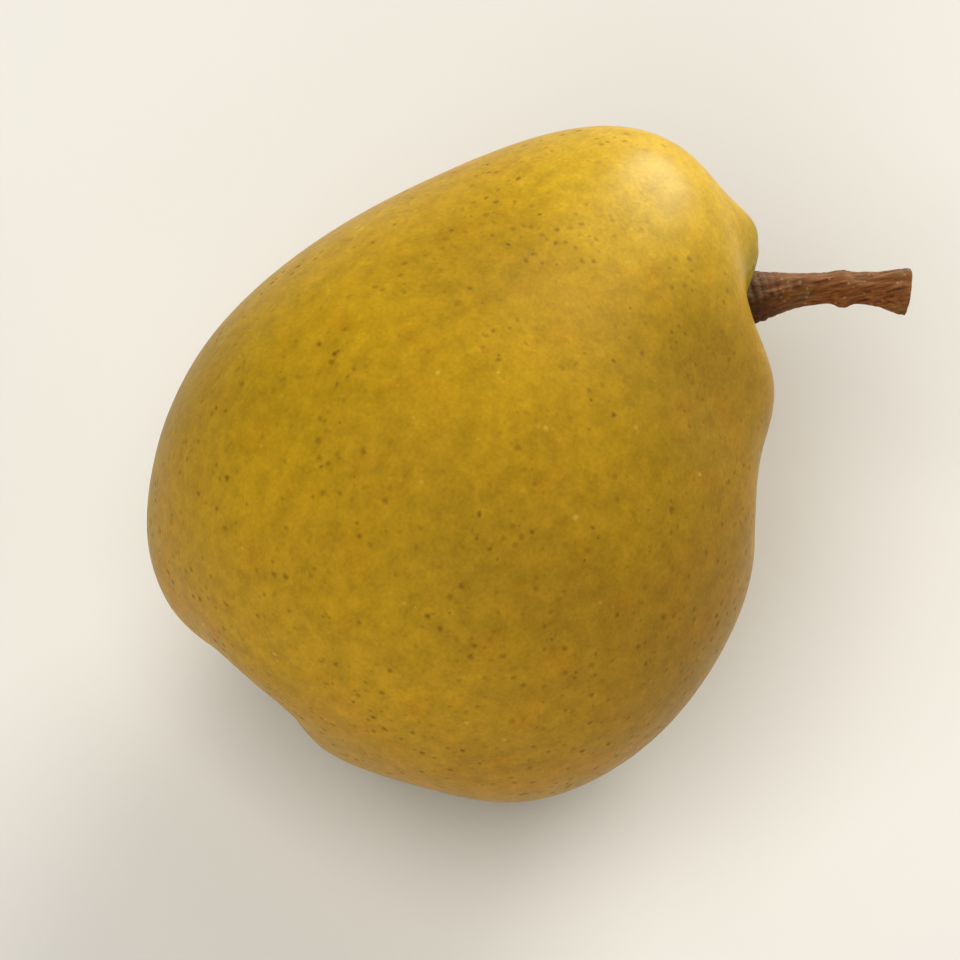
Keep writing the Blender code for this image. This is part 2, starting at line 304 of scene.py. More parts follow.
@dataclass
class PearForm:
    """The form that the fruit grew to, the same as its solid's, and how it lies."""

    # Half the outline from the neck on, as degrees from the axis and distance
    outline: tuple[Span, ...] = (
        (0, 0.0465), (20, 0.0455), (40, 0.0420), (60, 0.0400), (80, 0.0398), (100, 0.0408),
        (120, 0.0421), (135, 0.0426), (150, 0.0416), (165, 0.0402), (180, 0.0396),
    )  # fmt: skip
    outline_waves: int = 6
    stem_place: Place = Place(16, -167)
    calyx_place: Place = Place(160, -46)
    neck_lump: Lobe = Lobe(Place(17, 74), 24, 0.0083)
    lump_side: Lobe = Lobe(Place(13, 166), 7.5, 0.0066)
    notch: Lobe = Lobe(Place(19.5, -176), 13.3, -0.0085)
    stem_collar: Lobe = Lobe(Place(16, -167), 6, 0.0012)
    shoulder: Lobe = Lobe(Place(32, 173.5), 13, 0.0026)
    right_flank: Lobe = Lobe(Place(49.5, -173), 14, -0.0028)
    neck_valley: Lobe = Lobe(Place(50, 138), 14, -0.0013)
    belly: Lobe = Lobe(Place(78, -95), 32, 0.0010)
    left_flank: Lobe = Lobe(Place(84, 10), 22, -0.0008)
    left_cheek: Lobe = Lobe(Place(139, 3), 18, 0.0013)
    right_cheek: Lobe = Lobe(Place(151, -147), 17, -0.0020)
    basin_rim_below: Lobe = Lobe(Place(168, -92), 9, 0.0010)
    basin_rim_above: Lobe = Lobe(Place(153, -6), 9, 0.0008)
    basin: Lobe = Lobe(Place(160, -46), 16, -0.0040)
    basin_floor: Lobe = Lobe(Place(160, -46), 9, -0.0034)
    ridges: int = 5
    ridge_from_calyx: float = 27
    ridge_spread: float = 14
    ridge_height: float = 0.0007
    uneven_count: int = 22
    uneven_spread: Span = (16, 30)
    uneven_height: float = 0.00055
    uneven_seed: int = 11
    axis_raised: float = 10
    belly_height: float = 0.0401
    pole_crowding: float = 0.08
    lobes: list[Lobe] = field(init=False)
    curve: np.polynomial.Chebyshev = field(init=False)

    def __post_init__(self) -> None:
        """Gathers the lobes and fits the smooth curve through the outline."""
        named = [value for value in vars(self).values() if isinstance(value, Lobe)]
        self.lobes = [*named, *self.ridge_lobes(), *self.uneven_lobes()]
        angles, distances = np.array(self.outline).T
        cosines = np.cos(np.radians(angles))
        self.curve = np.polynomial.Chebyshev.fit(cosines, distances, self.outline_waves, domain=[-1, 1])

    def ridge_lobes(self) -> list[Lobe]:
        """The low ridges round the blossom end, one for each sepal.

        Returns:
            The lobes.
        """
        calyx = self.calyx_place.direction()
        tilt = Quaternion(calyx.orthogonal(), math.radians(self.ridge_from_calyx))
        lobes = []
        for turn in turns(self.ridges):
            spot = Quaternion(calyx, turn) @ (tilt @ calyx)
            place = Place(math.degrees(math.acos(spot.x)), math.degrees(math.atan2(spot.z, spot.y)))
            lobes.append(Lobe(place, self.ridge_spread, self.ridge_height))
        return lobes

    def uneven_lobes(self) -> list[Lobe]:
        """The slight unevenness all over.

        Returns:
            The lobes.
        """
        rng = np.random.default_rng(self.uneven_seed)
        lobes = []
        for _ in range(self.uneven_count):
            from_axis = math.degrees(math.acos(rng.uniform(-1, 1)))
            place = Place(from_axis, rng.uniform(-180, 180))
            spread = rng.uniform(*self.uneven_spread)
            lobes.append(Lobe(place, spread, rng.uniform(-1, 1) * self.uneven_height))
        return lobes

    def distances(self, towards: np.ndarray) -> np.ndarray:
        """How far the skin is from the belly's middle.

        Args:
            towards: unit vectors in the fruit's own frame.

        Returns:
            The distance along each.
        """
        found = self.curve(towards[..., 0])
        for lobe in self.lobes:
            nearness = towards @ np.array(lobe.place.direction()) - 1
            found = found + lobe.height * np.exp(2 * nearness / math.radians(lobe.spread) ** 2)
        return found

    def skin_point(self, towards: Vector) -> Vector:
        """The skin's point in this direction."""
        return towards * float(self.distances(np.array(towards)))

    def ring_directions(self, rings: int, ring_points: int) -> np.ndarray:
        """Directions on rings from the stem to the calyx, with the poles moved onto both.

        Args:
            rings: how many steps there are from pole to pole.
            ring_points: how many points each ring has.

        Returns:
            Unit vectors by ring and by place on it, poles left out.
        """
        share = np.arange(1, rings)[:, None] / rings
        turn = turns(ring_points)[None, :]
        polar = math.pi * (share - self.pole_crowding * np.sin(math.tau * share))
        across, level = np.sin(polar), np.cos(polar) * np.ones_like(turn)
        plain = np.stack([level, across * np.cos(turn), across * np.sin(turn)], axis=-1)
        axis = Vector((1, 0, 0))
        to_stem = axis.rotation_difference(self.stem_place.direction()).to_exponential_map()
        to_calyx = (-axis).rotation_difference(self.calyx_place.direction()).to_exponential_map()
        near_stem = (1 + plain[..., :1]) / 2
        near_calyx = (1 - plain[..., :1]) / 2
        spin = np.array(to_stem) * near_stem**2 + np.array(to_calyx) * near_calyx**2
        angle = np.linalg.norm(spin, axis=-1, keepdims=True)
        pivot = spin / np.maximum(angle, 1e-9)
        along = (plain * pivot).sum(-1, keepdims=True)
        turned = plain * np.cos(angle) + np.cross(pivot, plain) * np.sin(angle)
        return turned + pivot * along * (1 - np.cos(angle))

    def lying(self) -> Matrix:
        """The matrix from the fruit's own frame to where it lies."""
        raised = Matrix.Rotation(math.radians(-self.axis_raised), 4, "Y")
        return Matrix.Translation((0, 0, self.belly_height)) @ raised

    def lying_spot(self, place: Place) -> Vector:
        """The skin's point at a place, where it lies."""
        return self.lying() @ self.skin_point(place.direction())

    def place_points(self, points: np.ndarray) -> np.ndarray:
        """Moves points from the fruit's own frame to where they lie."""
        lie = np.array(self.lying())
        return points @ lie[:3, :3].T + lie[:3, 3]


@dataclass(frozen=True)
class WaxedPearSkin:
    """Ripe pear skin, grown and not polished: flesh-coloured light under a thin wax.

    To the eye it is a satin yellow, a little uneven in ripeness, with pores that show as small brown or pale
    dots, and dull brown cork where the skin stretched most, at the stem and the blossom end. Light and shade are
    painted into its colour too: golden on the side the light comes from, painted shade beside the shoulder, in the
    valley by the neck and on the belly, a painted highlight on the neck, and painted warm light round its middle.
    """

    golden: str = "#B89119"
    ochre: str = "#A57D20"
    shaded_green: str = "#86821F"
    # Painted shade, and a painted highlight on the neck
    painted_shade: str = "#84661C"
    painted_neck_highlight: str = "#D9B638"
    # Warm blush, which also paints warm light round the middle
    warm_blush_and_light: str = "#BE7D14"
    dark_pore: str = "#6B4713"
    pale_pore: str = "#E3C250"
    cork: str = "#8A6936"
    # Where the painted shade beside the shoulder, the painted neck highlight, and the painted shade in the valley
    # and on the belly lie
    flank_shade_place: Place = Place(53, 137)
    neck_highlight_place: Place = Place(25, 87)
    valley_shade_place: Place = Place(62, 72)
    belly_shade_place: Place = Place(118, 112)
    # The sunny side: riper and golden, and painted light falls from there; the side away from it takes painted
    # shade
    sun_and_light_side: tuple[float, float, float] = (0.30, 0.88, 0.37)
    ripeness_mm: float = 22.0
    ripeness_change: float = 0.42
    sun_and_light_gain: float = 0.11
    green_height_mm: Span = (34.0, 10.0)
    blush_mm: float = 7.0
    # Heights between which painted warm light round the middle rises to full
    warm_light_height_mm: Span = (64.0, 36.0)
    # The size of mottling and of grain, and how far each goes from bright to dark
    mottles: tuple[Span, ...] = ((2.6, 0.30), (0.55, 0.20))
    cork_net_mm: float = 1.6
    pore_crowd_mm: float = 9.0
    pore_rag_mm: float = 0.8
    pore_rag: float = 0.6
    dark_pore_gap_mm: float = 1.6
    dark_pore_radius_mm: float = 0.60
    dark_pore_strength: float = 0.85
    pale_pore_gap_mm: float = 3.1
    pale_pore_radius_mm: float = 0.50
    pale_pore_strength: float = 0.6
    pit_mm: float = 0.9
    crumb_mm: float = 0.35
    wax_roughness: float = 0.36
    cork_roughness: float = 0.78
    wax_ior: float = 1.44

    def build(self, form: PearForm) -> bpy.types.Material:
        """Makes the material.

        Args:
            form: the fruit's form, which says where the skin changes.

        Returns:
            The material.
        """
        paint = Dressing("waxed pear skin")
        # How far each place lies towards the sunny side, which takes painted light as well as riper colour
        facing = paint.add("VectorMath", {0: paint.mm, 1: self.sun_and_light_side}, operation="DOT_PRODUCT")
        towards_sun_and_light = facing.outputs["Value"]
        cork = self.cork_share(paint, form)
        dark, pale = self.pores(paint, towards_sun_and_light, form)
        colour = self.ground_colour(paint, towards_sun_and_light, form)
        colour = paint.coats(colour, [(self.pale_pore, pale), (self.cork, cork), (self.dark_pore, dark)])
        dull = paint.add("Math", {0: cork, 1: dark}, operation="MAXIMUM")
        shine = {"Value": dull, "To Min": self.wax_roughness, "To Max": self.cork_roughness}
        values = {
            "Roughness": paint.add("MapRange", shine),
            "IOR": self.wax_ior,
            "Specular IOR Level": 0.05,
            "Coat Weight": 0.02,
            "Coat Roughness": 0.30,
            "Coat IOR": self.wax_ior,
            "Subsurface Weight": 0.10,
            "Subsurface Radius": (1.0, 0.55, 0.12),
            "Subsurface Scale": 0.003,
        }
        return paint.finish(colour, self.relief(paint, cork, dark), 0.5, 0.08, values)

    def ground_colour(self, paint: Dressing, towards_sun_and_light: Socket, form: PearForm) -> Socket:
        """The ripe skin: golden on its sunny side and ochre on the other, as riper skin and as painted light and
        shade, with painted shade, a painted neck highlight, warm patches, painted warm light round its middle, and
        mottling.

        Args:
            paint: the material.
            towards_sun_and_light: how far towards the riper, painted-lit side the place is, in millimetres.
            form: the fruit's form.

        Returns:
            The colour.
        """
        mm = paint.mm
        patches = paint.add("TexNoise", {"Vector": mm, "Scale": 1 / self.ripeness_mm, "Detail": 3.0})
        # Golden towards the sunny side: riper skin there, and painted light on that side with painted shade on the
        # other
        gain = {"From Min": -20.0, "From Max": 45.0, "To Min": -self.sun_and_light_gain, "To Max": self.sun_and_light_gain}
        facing = paint.add("MapRange", {"Value": towards_sun_and_light, **gain})
        ripe = paint.add("Math", {0: patches, 1: self.ripeness_change, 2: facing}, operation="MULTIPLY_ADD")
        base = paint.add("ValToRGB", {0: ripe}, ((0.09, self.ochre), (0.35, self.golden))).outputs[0]

        height = paint.add("SeparateXYZ", {0: mm}).outputs["Z"]
        top, bottom = self.green_height_mm
        low = paint.add("MapRange", {"Value": height, "From Min": top, "From Max": bottom, "To Max": 0.55})
        base = paint.coats(base, [(self.shaded_green, low)])

        # Greener round the stem, painted shade beside the shoulder, in the valley by the neck and on the belly, and
        # a
        # painted highlight on the neck: each with its colour, the millimetres at which that ends and is full, and
        # its share
        for place, tint, ends, full, most in (
            (form.stem_place, self.shaded_green, 16.0, 7.0, 0.6),
            (self.flank_shade_place, self.painted_shade, 25.0, 4.0, 0.6),
            (self.neck_highlight_place, self.painted_neck_highlight, 27.0, 6.0, 0.4),
            (self.valley_shade_place, self.painted_shade, 17.0, 3.0, 0.35),
            (self.belly_shade_place, self.painted_shade, 20.0, 3.0, 0.28),
        ):
            near = paint.near(form.lying_spot(place), ends, full, most, "SMOOTHSTEP")
            base = paint.coats(base, [(tint, near)])

        blush = paint.add(
            "TexNoise", {"Vector": mm, "Scale": 1 / self.blush_mm, "Detail": 4.0, "Roughness": 0.6}
        )
        # Painted warm light round the middle, where the edges catch bounced light, raises the warm patches there
        top, bottom = self.warm_light_height_mm
        warm_light_band = paint.add("MapRange", {"Value": height, "From Min": top, "From Max": bottom, "To Max": 0.12})
        warmer = paint.add("Math", {0: blush, 1: warm_light_band}, operation="ADD")
        warm = paint.add("MapRange", {"Value": warmer, "From Min": 0.56, "From Max": 0.84, "To Max": 0.45})
        base = paint.coats(base, [(self.warm_blush_and_light, warm)])

        for size, spread in self.mottles:
            patch = paint.add("TexNoise", {"Vector": mm, "Scale": 1 / size, "Detail": 3.0, "Roughness": 0.6})
            ends = {"From Min": 0.3, "From Max": 0.7, "To Min": 1 - spread / 2, "To Max": 1 + spread / 2}
            bright = paint.add("MapRange", {"Value": patch, **ends})
            base = paint.add("HueSaturation", {"Value": bright, "Color": base}).outputs[0]
        return base

    def cork_share(self, paint: Dressing, form: PearForm) -> Socket:
        """How much brown cork covers the skin: most at the stem and the calyx, in a broken net further out.

        Args:
            paint: the material.
            form: the fruit's form.

        Returns:
            A share from 0 to 1.
        """
        net = paint.add(
            "TexNoise", {"Vector": paint.mm, "Scale": 1 / self.cork_net_mm, "Detail": 5.0, "Roughness": 0.7}
        )
        by_stem = paint.near(form.lying_spot(form.stem_place), 8.0, 3.8)
        by_calyx = paint.near(form.lying_spot(form.calyx_place), 15.0, 5.5)
        most = paint.add("Math", {0: by_stem, 1: by_calyx}, operation="MAXIMUM")
        edge = paint.add("Math", {0: most, 1: net}, operation="ADD")
        broken = {"Value": edge, "From Min": 0.92, "From Max": 1.35, "To Max": 0.85}
        return paint.add("MapRange", broken).outputs[0]

    def pores(self, paint: Dressing, towards_sun_and_light: Socket, form: PearForm) -> tuple[Socket, Socket]:
        """The skin's pores, as small round dots. Dark ones crowd by the calyx and on the shaded side.

        Args:
            paint: the material.
            towards_sun_and_light: how far towards the riper, painted-lit side the place is, in millimetres.
            form: the fruit's form.

        Returns:
            The shares of dark pores and of pale ones.
        """
        crowd = paint.add("TexNoise", {"Vector": paint.mm, "Scale": 1 / self.pore_crowd_mm, "Detail": 2.0})
        near = paint.near(form.lying_spot(form.calyx_place), 60.0, 20.0, 0.08)
        shade = {"From Min": 40.0, "From Max": -15.0, "To Min": -0.10, "To Max": 0.12}
        shaded = paint.add("MapRange", {"Value": towards_sun_and_light, **shade})
        closer = paint.add("Math", {0: near, 1: shaded}, operation="MAXIMUM")
        crowded = paint.add("Math", {0: crowd, 1: closer}, operation="ADD")
        ragged = paint.add("TexNoise", {"Vector": paint.mm, "Scale": 1 / self.pore_rag_mm, "Detail": 2.0})
        rag = {0: ragged.outputs["Color"], 1: (self.pore_rag,) * 3, 2: paint.mm}
        bent = paint.add("VectorMath", rag, operation="MULTIPLY_ADD")
        found = []
        for gap, radius, none, full, strength in (
            (self.dark_pore_gap_mm, self.dark_pore_radius_mm, 0.44, 0.58, self.dark_pore_strength),
            (self.pale_pore_gap_mm, self.pale_pore_radius_mm, 0.56, 0.44, self.pale_pore_strength),
        ):
            where = paint.add("MapRange", {"Value": crowded, "From Min": none, "From Max": full})
            cell = paint.add("TexVoronoi", {"Vector": bent, "Scale": 1 / gap})
            own = paint.add("SeparateXYZ", {0: cell.outputs["Color"]})
            size = paint.add("MapRange", {"Value": own.outputs["X"], "To Min": 0.45, "To Max": 1.1})
            reach = paint.add("Math", {0: cell.outputs["Distance"], 1: size}, operation="DIVIDE")
            faint = 0.35 * strength
            bold = paint.add("MapRange", {"Value": own.outputs["Y"], "To Min": faint, "To Max": strength})
            edge, full_at = radius / gap, 0.15 * radius / gap
            round_it = {"From Min": edge, "From Max": full_at, "To Max": bold}
            dot = paint.add("MapRange", {"Value": reach, **round_it})
            found.append(paint.add("Math", {0: dot, 1: where}, operation="MULTIPLY").outputs[0])
        return found[0], found[1]

    def relief(self, paint: Dressing, cork: Socket, dark: Socket) -> bpy.types.Node:
        """The finest relief: soft pits in the wax, proud cork and sunken pores.

        Args:
            paint: the material.
            cork: how much cork covers the skin.
            dark: where the dark pores are.

        Returns:
            The node that gives the height.
        """
        pits, crumbs = (
            paint.add("TexNoise", {"Vector": paint.mm, "Scale": 1 / size, "Detail": fine, "Roughness": rough})
            for size, fine, rough in ((self.pit_mm, 3.0, 0.55), (self.crumb_mm, 2.0, 0.6))
        )
        raised = paint.add("Math", {0: cork, 1: crumbs, 2: pits}, operation="MULTIPLY_ADD")
        return paint.add("Math", {0: raised, 1: dark}, operation="SUBTRACT")


@dataclass(frozen=True)
class PearBark:
    """Bark of a pear's stalk, as it grew: thin, ridged and corky.

    To the eye it is a dull red-brown with darker furrows, grey-olive films on the ridges, and specks of pale
    cork. Near the root, painted shade darkens it where the notch shades the stem.
    """

    furrow: str = "#3A2415"
    red_brown: str = "#744220"
    pale_ridge: str = "#8C5F35"
    olive_film: str = "#665C38"
    # Painted shade near the root, where the notch shades the stem
    root: str = "#3C2716"
    speck: str = "#A98B62"
    fibre_mm: float = 0.45
    fibre_stretch: float = 7.0
    film_mm: float = 3.5
    speck_gap_mm: float = 1.1
    roughness: float = 0.78
    ior: float = 1.50

    def build(self, along: Vector, root: Vector) -> bpy.types.Material:
        """Makes the material.

        Args:
            along: the stem's direction, which the fibres follow.
            root: where the stem leaves the skin, in metres.

        Returns:
            The material.
        """
        paint = Dressing("pear stalk bark")
        upright = along.rotation_difference(Vector((0, 0, 1))).to_euler()
        turned = paint.add("Mapping", {"Vector": paint.mm, "Rotation": tuple(upright)})
        squeeze = (1, 1, 1 / self.fibre_stretch)
        squeezed = paint.add("VectorMath", {0: turned, 1: squeeze}, operation="MULTIPLY")
        fibres = paint.add(
            "TexNoise", {"Vector": squeezed, "Scale": 1 / self.fibre_mm, "Detail": 5.0, "Roughness": 0.6}
        )
        stops = ((0.30, self.furrow), (0.48, self.red_brown), (0.68, self.pale_ridge))
        colour = paint.add("ValToRGB", {0: fibres}, stops).outputs[0]
        patches = paint.add(
            "TexNoise", {"Vector": paint.mm, "Scale": 1 / self.film_mm, "Detail": 4.0, "Roughness": 0.65}
        )
        film = paint.add("MapRange", {"Value": patches, "From Min": 0.50, "From Max": 0.64, "To Max": 0.5})
        cell = paint.add("TexVoronoi", {"Vector": paint.mm, "Scale": 1 / self.speck_gap_mm})
        away = cell.outputs["Distance"]
        speck = paint.add("MapRange", {"Value": away, "From Min": 0.24, "From Max": 0.12, "To Max": 0.4})
        # Painted shade: darker towards the root, where the notch shades the stem
        near = paint.near(root, 7.0, 3.6, 0.7)
        colour = paint.coats(colour, [(self.olive_film, film), (self.speck, speck), (self.root, near)])
        height = paint.add("Math", {0: speck, 1: 0.6, 2: fibres}, operation="MULTIPLY_ADD")
        values = {"Roughness": self.roughness, "IOR": self.ior, "Specular IOR Level": 0.15}
        return paint.finish(colour, height, 0.8, 0.25, values)


@dataclass(frozen=True)
class RingedTissue:
    """Dead plant tissue that changes colour from its middle outwards."""

    name: str
    heart: str
    between: str
    edge: str
    stops: tuple[float, float, float]
    # The colour's place at the middle, and how far the grain moves it
    start: float
    grain: float
    grain_mm: float
    grain_roughness: float
    relief: float
    relief_mm: float
    roughness: float
    sheen: float = 0.0

    def build(self, middle: Vector, reach: float) -> bpy.types.Material:
        """Makes the material.

        Args:
            middle: the tissue's middle in metres.
            reach: how far from it the edge is, in metres.

        Returns:
            The material.
        """
        paint = Dressing(self.name)
        fine = {"Scale": 1 / self.grain_mm, "Detail": 4.0, "Roughness": self.grain_roughness}
        grain = paint.add("TexNoise", {"Vector": paint.mm, **fine})
        away = paint.add("VectorMath", {0: paint.mm, 1: tuple(middle / MM)}, operation="DISTANCE")
        ends = {"From Max": reach / MM, "To Min": self.start, "To Max": self.start + 1}
        out = paint.add("MapRange", {"Value": away.outputs["Value"], **ends})
        ring = paint.add("Math", {0: grain, 1: self.grain, 2: out}, operation="MULTIPLY_ADD")
        stops = tuple(zip(self.stops, (self.heart, self.between, self.edge)))
        colour = paint.add("ValToRGB", {0: ring}, stops).outputs[0]
        values = {"Roughness": self.roughness, "Specular IOR Level": 0.15, "Sheen Weight": self.sheen}
        return paint.finish(colour, grain, self.relief, self.relief_mm, values)


@dataclass(frozen=True)
class PickedScar(RingedTissue):
    """The end of the stalk where it came off the tree: a healed break through bark, wood and pith.

    To the eye it is a pale corky rim round a brown, crumbly hollow.
    """

    name: str = "picked stalk scar"
    heart: str = "#33231A"
    between: str = "#7B5A37"
    edge: str = "#A98C62"
    stops: tuple[float, float, float] = (0.25, 0.50, 0.85)
    start: float = -0.2
    grain: float = 0.4
    grain_mm: float = 0.4
    grain_roughness: float = 0.7
    relief: float = 0.9
    relief_mm: float = 0.2
    roughness: float = 0.88


@dataclass(frozen=True)
class DriedSepal(RingedTissue):
    """What is left of the flower, dried on the fruit: papery sepals and withered threads.

    To the eye it is a dull dark brown, greyer and paler at the tips, with fine lines along the blades.
    """

    name: str = "dried sepal"
    heart: str = "#2B1D13"
    between: str = "#5A4128"
    edge: str = "#8C7758"
    stops: tuple[float, float, float] = (0.25, 0.55, 0.95)
    start: float = -0.25
    grain: float = 0.5
    grain_mm: float = 0.35
    grain_roughness: float = 0.65
    relief: float = 0.8
    relief_mm: float = 0.15
    roughness: float = 0.9
    sheen: float = 0.1


@dataclass(frozen=True)
class StudioPaper:
    """Matt background paper, as it comes off the roll. To the eye it is an even, pale warm white."""

    white: str = "#E9E7E2"
    fleck: str = "#E2E0DA"
    cloud_mm: float = 166.7
    roughness: float = 0.92

    def build(self) -> bpy.types.Material:
        """Makes the material.

        Returns:
            The material.
        """
        paint = Dressing("studio paper")
        cloud = paint.add("TexNoise", {"Vector": paint.mm, "Scale": 1 / self.cloud_mm, "Detail": 2.0})
        colour = paint.add("ValToRGB", {0: cloud}, ((0.3, self.fleck), (0.7, self.white)))
        values = {"Base Color": colour, "Roughness": self.roughness, "Specular IOR Level": 0.05}
        paint.connect(paint.surface, values)
        return paint.material


def place_piece(mesh: bpy.types.Mesh, node: Node) -> bpy.types.Object:
    """Puts a finished mesh into the scene in the place of its solid.

    Args:
        mesh: the mesh, which gives the piece its name.
        node: the solid that it stands for.

    Returns:
        The piece.
    """
    piece = bpy.data.objects.new(mesh.name, mesh)
    bpy.context.scene.collection.objects.link(piece)
    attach(piece, "root")
    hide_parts(node.value)
    return piece


@dataclass(frozen=True)
class Folds:
    """Radial folds where something pulls at the skin, and the pressed-in foot in their middle.

    A foot's two angles are those between which the skin rises out of it. Both are degrees from the place.
    """

    place: Place
    count: int
    depth: float
    fade_out: float
    foot: Span
    foot_depth: float
    wobble: float = 2.2
    wobble_period: float = 0.45
    weakest: float = 0.10
    weakness_period: float = 0.7

    def hollow(self, towards: np.ndarray) -> np.ndarray:
        """How far folds and foot lie below the skin.

        Args:
            towards: unit vectors in the fruit's own frame.

        Returns:
            The depth along each.
        """
        pole = self.place.direction()
        one = np.array(pole.orthogonal().normalized())
        two = np.cross(np.array(pole), one)
        away = np.degrees(np.arccos(np.clip(towards @ np.array(pole), -1, 1)))
        turn = np.arctan2(towards @ two, towards @ one)
        around = circle(turn, 1.0, away / self.fade_out)
        wobble = noise_at(around, self.wobble_period) * self.wobble
        middling = (1 + self.weakest) / 2
        strength = middling + (1 - middling) * noise_at(around, self.weakness_period, 9.0)
        risen = smooth_step(away, *self.foot)
        fade = (1 - smooth_step(away, self.foot[1], self.fade_out)) * risen
        fold = crease(self.count * turn + wobble) * strength * fade
        return fold * self.depth + (1 - risen) * self.foot_depth

    def bottom(self, form: PearForm, reach: float) -> Vector:
        """The foot's middle, for a fruit that reaches this far there."""
        return form.skin_point(self.place.direction()) * (1 - self.foot_depth / reach)


@dataclass
class Fruit:
    """Flesh and skin: the grown form with its finest swells, and folds where stem and calyx pull at it."""

    form: PearForm
    rings: int = 300
    ring_points: int = 320
    swell_period: float = 0.016
    swell_depth: float = 0.00022
    ripple_period: float = 0.0058
    ripple_depth: float = 0.00007
    stem_folds: Folds = Folds(Place(16, -167), 8, 0.00040, 15.0, (4.2, 6.4), 0.0018)
    calyx_folds: Folds = Folds(Place(160, -46), 15, 0.00035, 25.0, (5.6, 7.2), 0.0009)
    flat_edge: float = 0.00025

    def mesh(self) -> bpy.types.Mesh:
        """Builds the skin.

        Returns:
            A closed mesh, flat where it lies.
        """
        form = self.form
        towards = form.ring_directions(self.rings, self.ring_points)
        distance = form.distances(towards)
        points = towards * distance[..., None]
        swell = (noise_at(points, self.swell_period) - 1) / 2 * self.swell_depth
        ripple = (noise_at(points, self.ripple_period, 5.0) - 1) / 2 * self.ripple_depth
        distance = distance + swell + ripple
        distance = distance - self.stem_folds.hollow(towards) - self.calyx_folds.hollow(towards)
        placed = form.place_points(towards * distance[..., None])
        placed[..., 2] = self.flattened(placed[..., 2])
        tips = (
            self.stem_folds.bottom(form, form.outline[0][1]),
            self.calyx_folds.bottom(form, form.outline[-1][1]),
        )
        return mesh_of_rings("pear_skin", [placed], tuple(form.place_points(np.array(tip)) for tip in tips))

    def flattened(self, height: np.ndarray) -> np.ndarray:
        """Presses what would lie under the surface flat onto it, with a soft edge."""
        edge = self.flat_edge
        blend = (height + edge) ** 2 / (4 * edge)
        return np.where(height >= edge, height, np.where(height <= -edge, 0.0, blend))

    def build(self) -> bpy.types.Object:
        """Builds and dresses the fruit.

        Returns:
            The object.
        """
        mesh = self.mesh()
        mesh.materials.append(WaxedPearSkin().build(self.form))
        return place_piece(mesh, Node.FRUIT)


